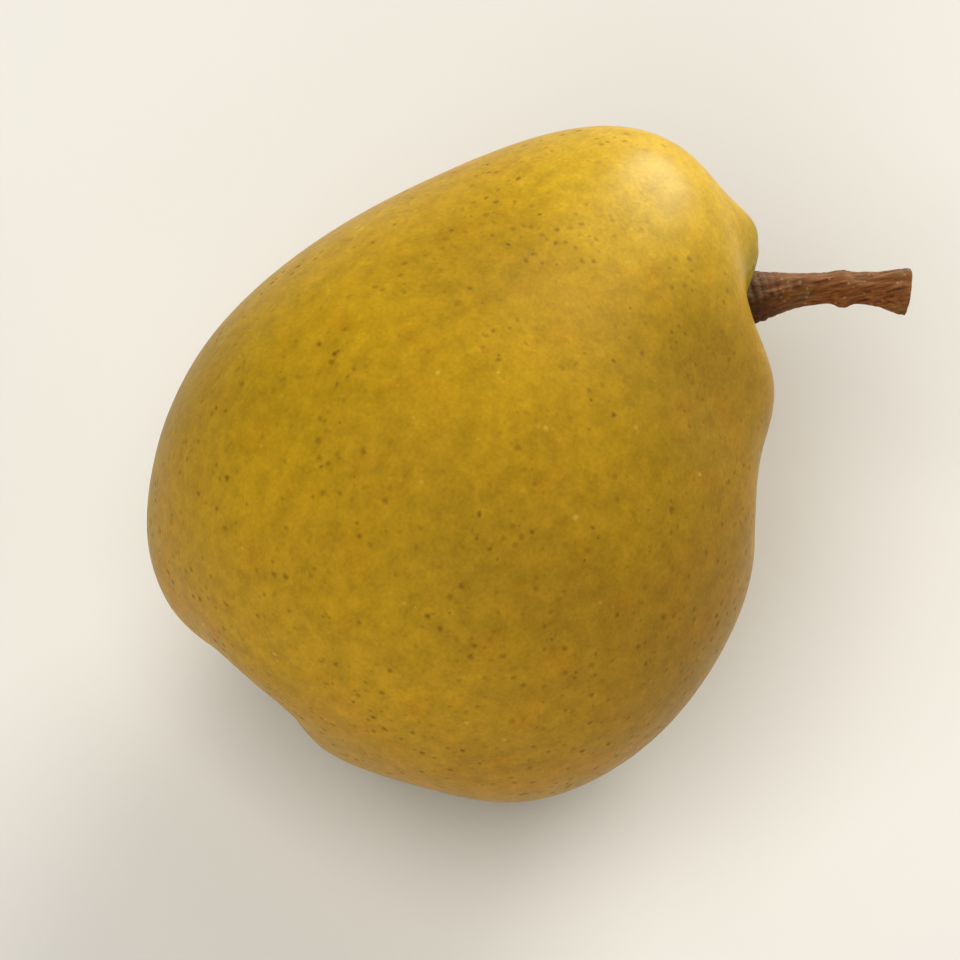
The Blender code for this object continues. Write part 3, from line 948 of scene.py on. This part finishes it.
@dataclass
class Stem:
    """The woody stalk: thick at the flesh, bent, with a bud's knot and a flared, healed tip."""

    form: PearForm
    length: float = 0.0235
    sunk: float = 0.0032
    waist_radius: float = 0.0022
    # Root, knot and scar: where, how far the swelling reaches, as shares of the length, and how high it is
    swells: tuple[tuple[float, float, float], ...] = (
        (0, 0.26, 0.0017),
        (0.62, 0.05, 0.00025),
        (1, 0.14, 0.0011),
    )
    # How many low ridges, how far they wind in radians, and their height as a share of the radius
    ridges: tuple[tuple[int, float, float], ...] = ((3, 4, 0.05), (5, -7, 0.03))
    heading: Place = Place(38, -166)
    bend: float = 22
    bend_towards: Place = Place(110, -150)
    rings: int = 190
    ring_points: int = 96
    scar_rings: int = 16
    scar_depth: float = 0.0007
    scar_roll: float = 0.00012
    scar_crumbs: float = 0.00013
    crumb_period: float = 0.0007
    furrows: int = 9
    furrow_wind: float = 3
    furrow_depth: float = 0.00016
    wander: float = 1.8
    wander_period: float = 0.9
    wander_length: float = 0.006
    wrinkle_depth: float = 0.00014
    wrinkle_period: float = 0.0012
    grain_depth: float = 0.00018
    grain_period: float = 0.0013
    pores: int = 46
    pores_along: Span = (0.1, 0.95)
    pore_height: float = 0.00011
    pore_size: float = 0.00028
    # The bud's knot and its pit: how far each reaches along, as a share of the length, and round in radians
    bud_turn: float = 1.1
    bud_height: float = 0.00055
    bud_reach: Span = (0.045, 0.55)
    pit_share: float = 0.7
    pit_reach: Span = (0.016, 0.20)
    seed: int = 23

    def aim(self) -> tuple[Vector, Vector, Vector]:
        """Where the stem starts and which way it goes.

        Returns:
            Its root on the skin, its direction there, and the side that it bends to.
        """
        root = self.form.skin_point(self.form.stem_place.direction())
        along = self.heading.direction()
        towards = self.bend_towards.direction()
        return root, along, (towards - along * towards.dot(along)).normalized()

    def middle(self, distance: float) -> tuple[Vector, Vector]:
        """The stem's middle line.

        Args:
            distance: how far along it from the skin, in metres.

        Returns:
            The point there and the direction.
        """
        root, along, side = self.aim()
        radius = self.length / math.radians(self.bend)
        turn = distance / radius
        point = root + along * math.sin(turn) * radius + side * (1 - math.cos(turn)) * radius
        return point, (along * math.cos(turn) + side * math.sin(turn)).normalized()

    def radii(self, distance: float, turn: np.ndarray) -> np.ndarray:
        """How thick the stem is.

        Args:
            distance: how far along from the skin, in metres.
            turn: places round it, in radians.

        Returns:
            The radius at each, as the solid has it.
        """
        share = max(distance / self.length, 0)
        swell = sum(height * hill(share, at, reach) for at, reach, height in self.swells)
        ridges = sum(height * np.cos(count * turn + wind * share) for count, wind, height in self.ridges)
        return (self.waist_radius + swell) * (1 + ridges)

    def relief(self, distance: float, turn: np.ndarray, spots: np.ndarray) -> np.ndarray:
        """The bark's furrows, wrinkles, pores and bud.

        Args:
            distance: how far along from the skin, in metres.
            turn: places round it, in radians.
            spots: the bark's pores, as distance and turn.

        Returns:
            What is added to the radius at each place.
        """
        share = distance / self.length
        wander = noise_at(circle(turn, 1.0, distance / self.wander_length), self.wander_period) * self.wander
        furrow = crease(self.furrows * turn + self.furrow_wind * share + wander)
        # Wrinkles lie closer to the ends, and are deepest at the root
        wrinkle = crease(math.tau * distance / self.wrinkle_period + wander * 1.5)
        by_ends = hill(share, 0, 0.26) + 0.5 * hill(share, 1, 0.10)
        grain = (noise_at(circle(turn, self.waist_radius, distance), self.grain_period, 3.0) - 1) / 2
        added = grain * self.grain_depth - furrow * self.furrow_depth - wrinkle * self.wrinkle_depth * by_ends
        for at, spot_turn in spots:
            gap = turn_between(turn, spot_turn) * self.waist_radius
            added += self.pore_height * hill(distance, at, self.pore_size) * hill(gap, 0, self.pore_size)
        gap = turn_between(turn, self.bud_turn)
        knot, pit = (
            hill(share, self.swells[1][0], along) * hill(gap, 0, round_it)
            for along, round_it in (self.bud_reach, self.pit_reach)
        )
        return added + self.bud_height * (knot - self.pit_share * pit)

    def ring(self, distance: float, turn: np.ndarray, spots: np.ndarray) -> np.ndarray:
        """One ring of the bark.

        Args:
            distance: how far along from the skin, in metres.
            turn: places round it, in radians.
            spots: the bark's pores.

        Returns:
            The ring's points in the fruit's own frame.
        """
        middle, along = self.middle(distance)
        across = self.aim()[2].cross(along).normalized()
        up = along.cross(across)
        radius = self.radii(distance, turn) + self.relief(distance, turn, spots)
        reach = np.outer(np.cos(turn), np.array(across)) + np.outer(np.sin(turn), np.array(up))
        return np.array(middle) + reach * radius[:, None]

    def scar(self, rim: np.ndarray) -> list[np.ndarray]:
        """The healed tip: the rim rolls in and drops to a crumbly hollow.

        Args:
            rim: the bark's last ring.

        Returns:
            Rings from the rim to the scar's middle.
        """
        tip, along = (np.array(v) for v in self.middle(self.length))
        rings = []
        for k in range(1, self.scar_rings):
            inwards = k / self.scar_rings
            roll = self.scar_roll * math.sin(math.pi * min(1.0, inwards / 0.3))
            drop = self.scar_depth * float(smooth_step(np.array(inwards), 0.18, 0.62)) - roll
            points = tip + (rim - tip) * (1 - inwards)
            crumbs = noise_at(points, self.crumb_period, 7.0)[:, None] * self.scar_crumbs * min(1.0, k / 3)
            rings.append(points - along * (drop + crumbs))
        return rings

    def build(self) -> bpy.types.Object:
        """Builds and dresses the stem.

        Returns:
            The object.
        """
        rng = np.random.default_rng(self.seed)
        pores_at = rng.uniform(*self.pores_along, self.pores) * self.length
        spots = np.stack([pores_at, rng.uniform(0, math.tau, self.pores)], axis=-1)
        distances = np.linspace(-self.sunk, self.length, self.rings)
        rings = [self.ring(distance, turns(self.ring_points), spots) for distance in distances]
        rings += self.scar(rings[-1])
        tip, along = self.middle(self.length)
        tips = (self.middle(-self.sunk)[0], tip - along * self.scar_depth)
        grid = self.form.place_points(np.array(rings))
        placed = tuple(self.form.place_points(np.array(end)) for end in tips)
        mesh = mesh_of_rings("woody_stem", [grid], placed)
        lie = self.form.lying()
        root, heading, _ = self.aim()
        mesh.materials.append(PearBark().build(lie.to_3x3() @ heading, lie @ root))
        mesh.materials.append(PickedScar().build(lie @ tip, self.waist_radius + self.swells[-1][2]))
        first_scar_face = (self.rings - 1) * self.ring_points
        fans = len(mesh.polygons) - 2 * self.ring_points
        root_fan = range(fans, fans + self.ring_points)
        for face in mesh.polygons:
            face.material_index = int(face.index >= first_scar_face and face.index not in root_fan)
        return place_piece(mesh, Node.STEM)


@dataclass
class Calyx:
    """The dried flower's remains: a low cup with five curled sepals, withered stamens and styles."""

    form: PearForm
    cup_radius: float = 0.0040
    cup_sunk: float = 0.0010
    cup_rise: float = 0.0011
    cup_inner: float = 0.0028
    cup_points: int = 96
    cup_wear: float = 0.00012
    cup_wear_period: float = 0.0012
    sepals: int = 5
    sepal_lengths: Span = (0.0043, 0.0056)
    sepal_width: float = 0.0044
    sepal_taper: float = 0.9
    sepal_taper_curve: float = 1.6
    sepal_hollow: float = 0.22
    sepal_wave: float = 0.00022
    sepal_thickness: float = 0.0007
    sepal_from_middle: float = 0.0031
    sepal_leans: Span = (-26, -8)
    sepal_curls: Span = (30, 85)
    sepal_strays: float = 0.06
    sepal_twist: float = 0.6
    sepal_steps: int = 30
    sepal_across: int = 9
    stamens: int = 11
    stamen_lengths: Span = (0.0026, 0.0039)
    stamen_from_middle: Span = (0.0007, 0.0020)
    stamen_leans: Span = (-0.5, 0.3)
    stamen_head: float = 1.7
    thread_radius: float = 0.00030
    thread_waver: float = 0.0001
    thread_strays: float = 0.2
    thread_rings: int = 18
    thread_points: int = 10
    styles: int = 5
    style_lengths: Span = (0.0019, 0.0027)
    style_from_middle: float = 0.0003
    style_leans: Span = (0.0, 0.3)
    style_head: float = 1.3
    seed: int = 5
    extra_seed: int = 8
    voxel: float = 0.00012

    def frame(self) -> Matrix:
        """The matrix from the calyx's own frame, +Z out of the basin, to where it lies."""
        middle = self.form.calyx_place.direction()
        one = middle.orthogonal().normalized()
        reach = math.radians(self.form.basin.spread)
        spans = []
        for axis in (one, middle.cross(one)):
            far, near = (self.form.skin_point(Quaternion(axis, swing) @ middle) for swing in (reach, -reach))
            spans.append(far - near)
        out = spans[0].cross(spans[1]).normalized()
        out = out if out.dot(middle) > 0 else -out
        turn = Vector((0, 0, 1)).rotation_difference(out).to_matrix().to_4x4()
        return self.form.lying() @ Matrix.Translation(self.form.skin_point(middle)) @ turn

    def cup(self) -> np.ndarray:
        """The cup that the sepals stand on, with a worn rim.

        Returns:
            Rings of points in the calyx's own frame.
        """
        outer, inner, rise = self.cup_radius, self.cup_inner, self.cup_rise
        # From the underside over the rim to the floor
        profile = (
            (outer * 0.92, -self.cup_sunk),
            (outer, 0.0),
            (outer * 0.98, rise * 0.6),
            (outer * 0.95, rise),
            (inner, rise),
            (inner * 0.95, rise * 0.6),
            (inner * 0.9, rise * 0.2),
        )
        rings = []
        for radius, height in profile:
            ring = circle(turns(self.cup_points), radius, height)
            worn = noise_at(ring, self.cup_wear_period)[:, None] * self.cup_wear
            rings.append(ring * (1 + worn / outer))
        return np.array(rings)

    def sepal(self, turn: float, length: float, curl: float, lean: float, twist: float) -> np.ndarray:
        """One dried sepal: a pointed blade that rises from the rim and curls over outwards.

        Args:
            turn: its place round the cup, in radians.
            length: along the blade, in metres.
            curl: how far it curls over, in radians.
            lean: how far it leans out at its foot, in radians.
            twist: how far its tip is twisted, in radians.

        Returns:
            Rings of points in the calyx's own frame.
        """
        rings = []
        angle = lean
        out, up = self.sepal_from_middle, 0.0
        sides = np.linspace(-1, 1, self.sepal_across)
        for step in range(self.sepal_steps + 1):
            share = step / self.sepal_steps
            half = self.sepal_width / 2 * (1 - self.sepal_taper * share**self.sepal_taper_curve)
            normal = np.array([math.cos(angle), 0.0, -math.sin(angle)])
            wave = self.sepal_wave * share * np.sin(9 * share + 2.5 * sides + turn * 3) * sides**2
            hollow = -self.sepal_hollow * half * (1 - sides**2) + wave
            thick = self.sepal_thickness / 2 * (1 - 0.35 * share) * (1 - 0.3 * sides**4)
            spun = twist * share**2
            ways = np.array([0.0, math.cos(spun), 0.0]) + normal * math.sin(spun)
            lifted = normal * math.cos(spun) - np.array([0.0, math.sin(spun), 0.0])
            blade = np.array([out, 0.0, up]) + np.outer(sides * half, ways)
            top, under = (blade + np.outer(hollow + side * thick, lifted) for side in (1, -1))
            rings.append(np.concatenate([top, under[::-1]]))
            out += math.sin(angle) * length / self.sepal_steps
            up += math.cos(angle) * length / self.sepal_steps
            angle += curl / self.sepal_steps
        return self.spun(np.array(rings), turn)

    def thread(self, turn: float, out: float, length: float, lean: float, head: float) -> np.ndarray:
        """One withered stamen or style: a thin bent thread with a thicker end.

        Args:
            turn: its place round the cup, in radians.
            out: how far from the middle it stands, in metres.
            length: how long it is, in metres.
            lean: how far its tip leans, as a share of its length.
            head: its head's radius, as a share of the thread's.

        Returns:
            Rings of points in the calyx's own frame.
        """
        rings = []
        for share in np.linspace(0, 1, self.thread_rings):
            swell = 1 - 0.15 * share + (head - 1) * hill(share, 0.88, 0.09)
            rounded = math.sqrt(max(0.05, min(1.0, (1.02 - share) / 0.06)))
            reach = out + lean * share**2 * length
            waver = self.thread_waver * math.sin(7 * share + 5 * turn)
            ring = circle(turns(self.thread_points), self.thread_radius * swell * rounded, length * share)
            rings.append(ring + np.array([reach, waver, 0.0]))
        return self.spun(np.array(rings), turn)

    @staticmethod
    def spun(points: np.ndarray, turn: float) -> np.ndarray:
        """Turns points about the calyx's middle."""
        return points @ np.array(Matrix.Rotation(turn, 3, "Z")).T

    def bodies(self) -> list[np.ndarray]:
        """Everything that stands in or on the cup, in the places that the solid has them.

        Returns:
            Rings of points for each body, in the calyx's own frame.
        """
        rng = np.random.default_rng(self.seed)
        extra = np.random.default_rng(self.extra_seed)
        found = [self.cup()]
        for i in range(self.sepals):
            turn = math.tau * (i + rng.uniform(-self.sepal_strays, self.sepal_strays)) / self.sepals
            length = rng.uniform(*self.sepal_lengths)
            curl = math.radians(rng.uniform(*self.sepal_curls))
            lean = math.radians(rng.uniform(*self.sepal_leans))
            twist = extra.uniform(-self.sepal_twist, self.sepal_twist)
            found.append(self.sepal(turn, length, curl, lean, twist))
        for i in range(self.stamens):
            turn = math.tau * (i + rng.uniform(-self.thread_strays, self.thread_strays)) / self.stamens
            out = rng.uniform(*self.stamen_from_middle)
            length = rng.uniform(*self.stamen_lengths)
            found.append(self.thread(turn, out, length, rng.uniform(*self.stamen_leans), self.stamen_head))
        for i in range(self.styles):
            turn = math.tau * (i + extra.uniform(-self.thread_strays, self.thread_strays)) / self.styles
            length = extra.uniform(*self.style_lengths)
            lean = extra.uniform(*self.style_leans)
            found.append(self.thread(turn, self.style_from_middle, length, lean, self.style_head))
        return found

    def build(self) -> bpy.types.Object:
        """Builds the bodies, grows them together and dresses them.

        Returns:
            The object.
        """
        placed = self.frame()
        loose = mesh_of_rings("calyx bodies", self.bodies())
        loose.transform(placed)
        bodies = bpy.data.objects.new("calyx bodies", loose)
        grow = bodies.modifiers.new("grown together", "REMESH")
        grow.mode = "VOXEL"
        grow.voxel_size = self.voxel
        ease = bodies.modifiers.new("eased", "SMOOTH")
        ease.factor = 0.5
        ease.iterations = 2
        bpy.context.scene.collection.objects.link(bodies)
        grown = bpy.data.meshes.new_from_object(bodies.evaluated_get(bpy.context.evaluated_depsgraph_get()))
        bpy.data.objects.remove(bodies)
        grown.name = "dried_calyx"
        grown.shade_smooth()
        grown.materials.clear()
        reach = self.sepal_lengths[1] + self.cup_radius / 2
        grown.materials.append(DriedSepal().build(placed.translation, reach))
        return place_piece(grown, Node.CALYX)


@dataclass(frozen=True)
class Softbox:
    """A square soft light: where it hangs and its side in metres, its power in watts and its colour, sRGB.

    A mirrored one only shows as a sheen on wax, and any other only brightens. Crossed polarising sheets part
    the two, as a photographer of shiny fruit would.
    """

    name: str
    place: tuple[float, float, float]
    size: float
    watts: float
    colour: str = "#FFFCF6"
    mirrored: bool = False

    def hang(self, towards: Vector) -> None:
        """Adds the light, facing a point."""
        data = bpy.data.lights.new(self.name, "AREA")
        data.shape = "SQUARE"
        data.size = self.size
        data.energy = self.watts
        data.color = linear(self.colour)[:3]
        placed = bpy.data.objects.new(self.name, data)
        placed.location = self.place
        placed.rotation_euler = (towards - Vector(self.place)).to_track_quat("-Z", "Y").to_euler()
        placed.visible_glossy = self.mirrored
        placed.visible_diffuse = not self.mirrored
        bpy.context.scene.collection.objects.link(placed)


@dataclass
class Studio:
    """Pale paper, soft light and the camera, which looks down at the pear as the photograph does."""

    look_down: float = 64.7
    look_azimuth: float = 52.0
    pear_middle: tuple[float, float, float] = (0.002, 0.0, 0.0401)
    camera_distance: float = 1.4
    seen_width: float = 0.128
    sensor: float = 36.0
    paper_radius: float = 12.0
    paper_points: int = 96
    paper_below: float = 0.0001
    surroundings: str = "#F3F5F8"
    surroundings_strength: float = 0.15
    lights: tuple[Softbox, ...] = (
        Softbox("overhead", (-0.42, 0.04, 1.29), 1.0, 12.2),
        Softbox("behind", (1.06, 0.16, 0.36), 0.6, 15.2),
        Softbox("fill", (-1.20, -0.55, 0.45), 1.2, 6.6),
        Softbox("sheen", (1.08, 0.13, 0.34), 0.62, 46.0, "#FFF8DC", mirrored=True),
    )

    def camera(self) -> None:
        """Adds the camera."""
        down, turn = math.radians(self.look_down), math.radians(self.look_azimuth)
        level = Vector((math.sin(turn), math.cos(turn), 0))
        back = level * -math.cos(down) + Vector((0, 0, math.sin(down)))
        data = bpy.data.cameras.new("camera")
        data.sensor_width = self.sensor
        data.lens = self.sensor * self.camera_distance / self.seen_width
        placed = bpy.data.objects.new("camera", data)
        placed.location = Vector(self.pear_middle) + back * self.camera_distance
        placed.rotation_euler = (-back).to_track_quat("-Z", "Y").to_euler()
        bpy.context.scene.collection.objects.link(placed)
        bpy.context.scene.camera = placed

    def paper(self) -> None:
        """Adds the pale floor."""
        points = [tuple(p) for p in circle(turns(self.paper_points), self.paper_radius, -self.paper_below)]
        mesh = bpy.data.meshes.new("paper")
        mesh.from_pydata(points, [], [tuple(range(len(points)))])
        mesh.materials.append(StudioPaper().build())
        floor = bpy.data.objects.new("paper", mesh)
        bpy.context.scene.collection.objects.link(floor)

    def build(self) -> None:
        """Sets up paper, lights, surroundings and camera."""
        scene = bpy.context.scene
        scene.view_settings.view_transform = "Standard"
        scene.view_settings.look = "None"
        world = bpy.data.worlds.new("studio")
        world.use_nodes = True
        background = world.node_tree.nodes["Background"]
        background.inputs["Color"].default_value = linear(self.surroundings)
        background.inputs["Strength"].default_value = self.surroundings_strength
        scene.world = world
        self.paper()
        for light in self.lights:
            light.hang(Vector(self.pear_middle))
        self.camera()


def main() -> None:
    """Builds the pear and its studio, in order, and reports each piece."""
    logging.basicConfig(level=logging.INFO, format="%(name)s: %(message)s")
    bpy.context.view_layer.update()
    form = PearForm()
    for part in (Fruit(form), Stem(form), Calyx(form)):
        piece = part.build()
        log.info("%s: %d faces", piece.name, len(piece.data.polygons))
    Studio().build()


if __name__ == "__main__":
    main()
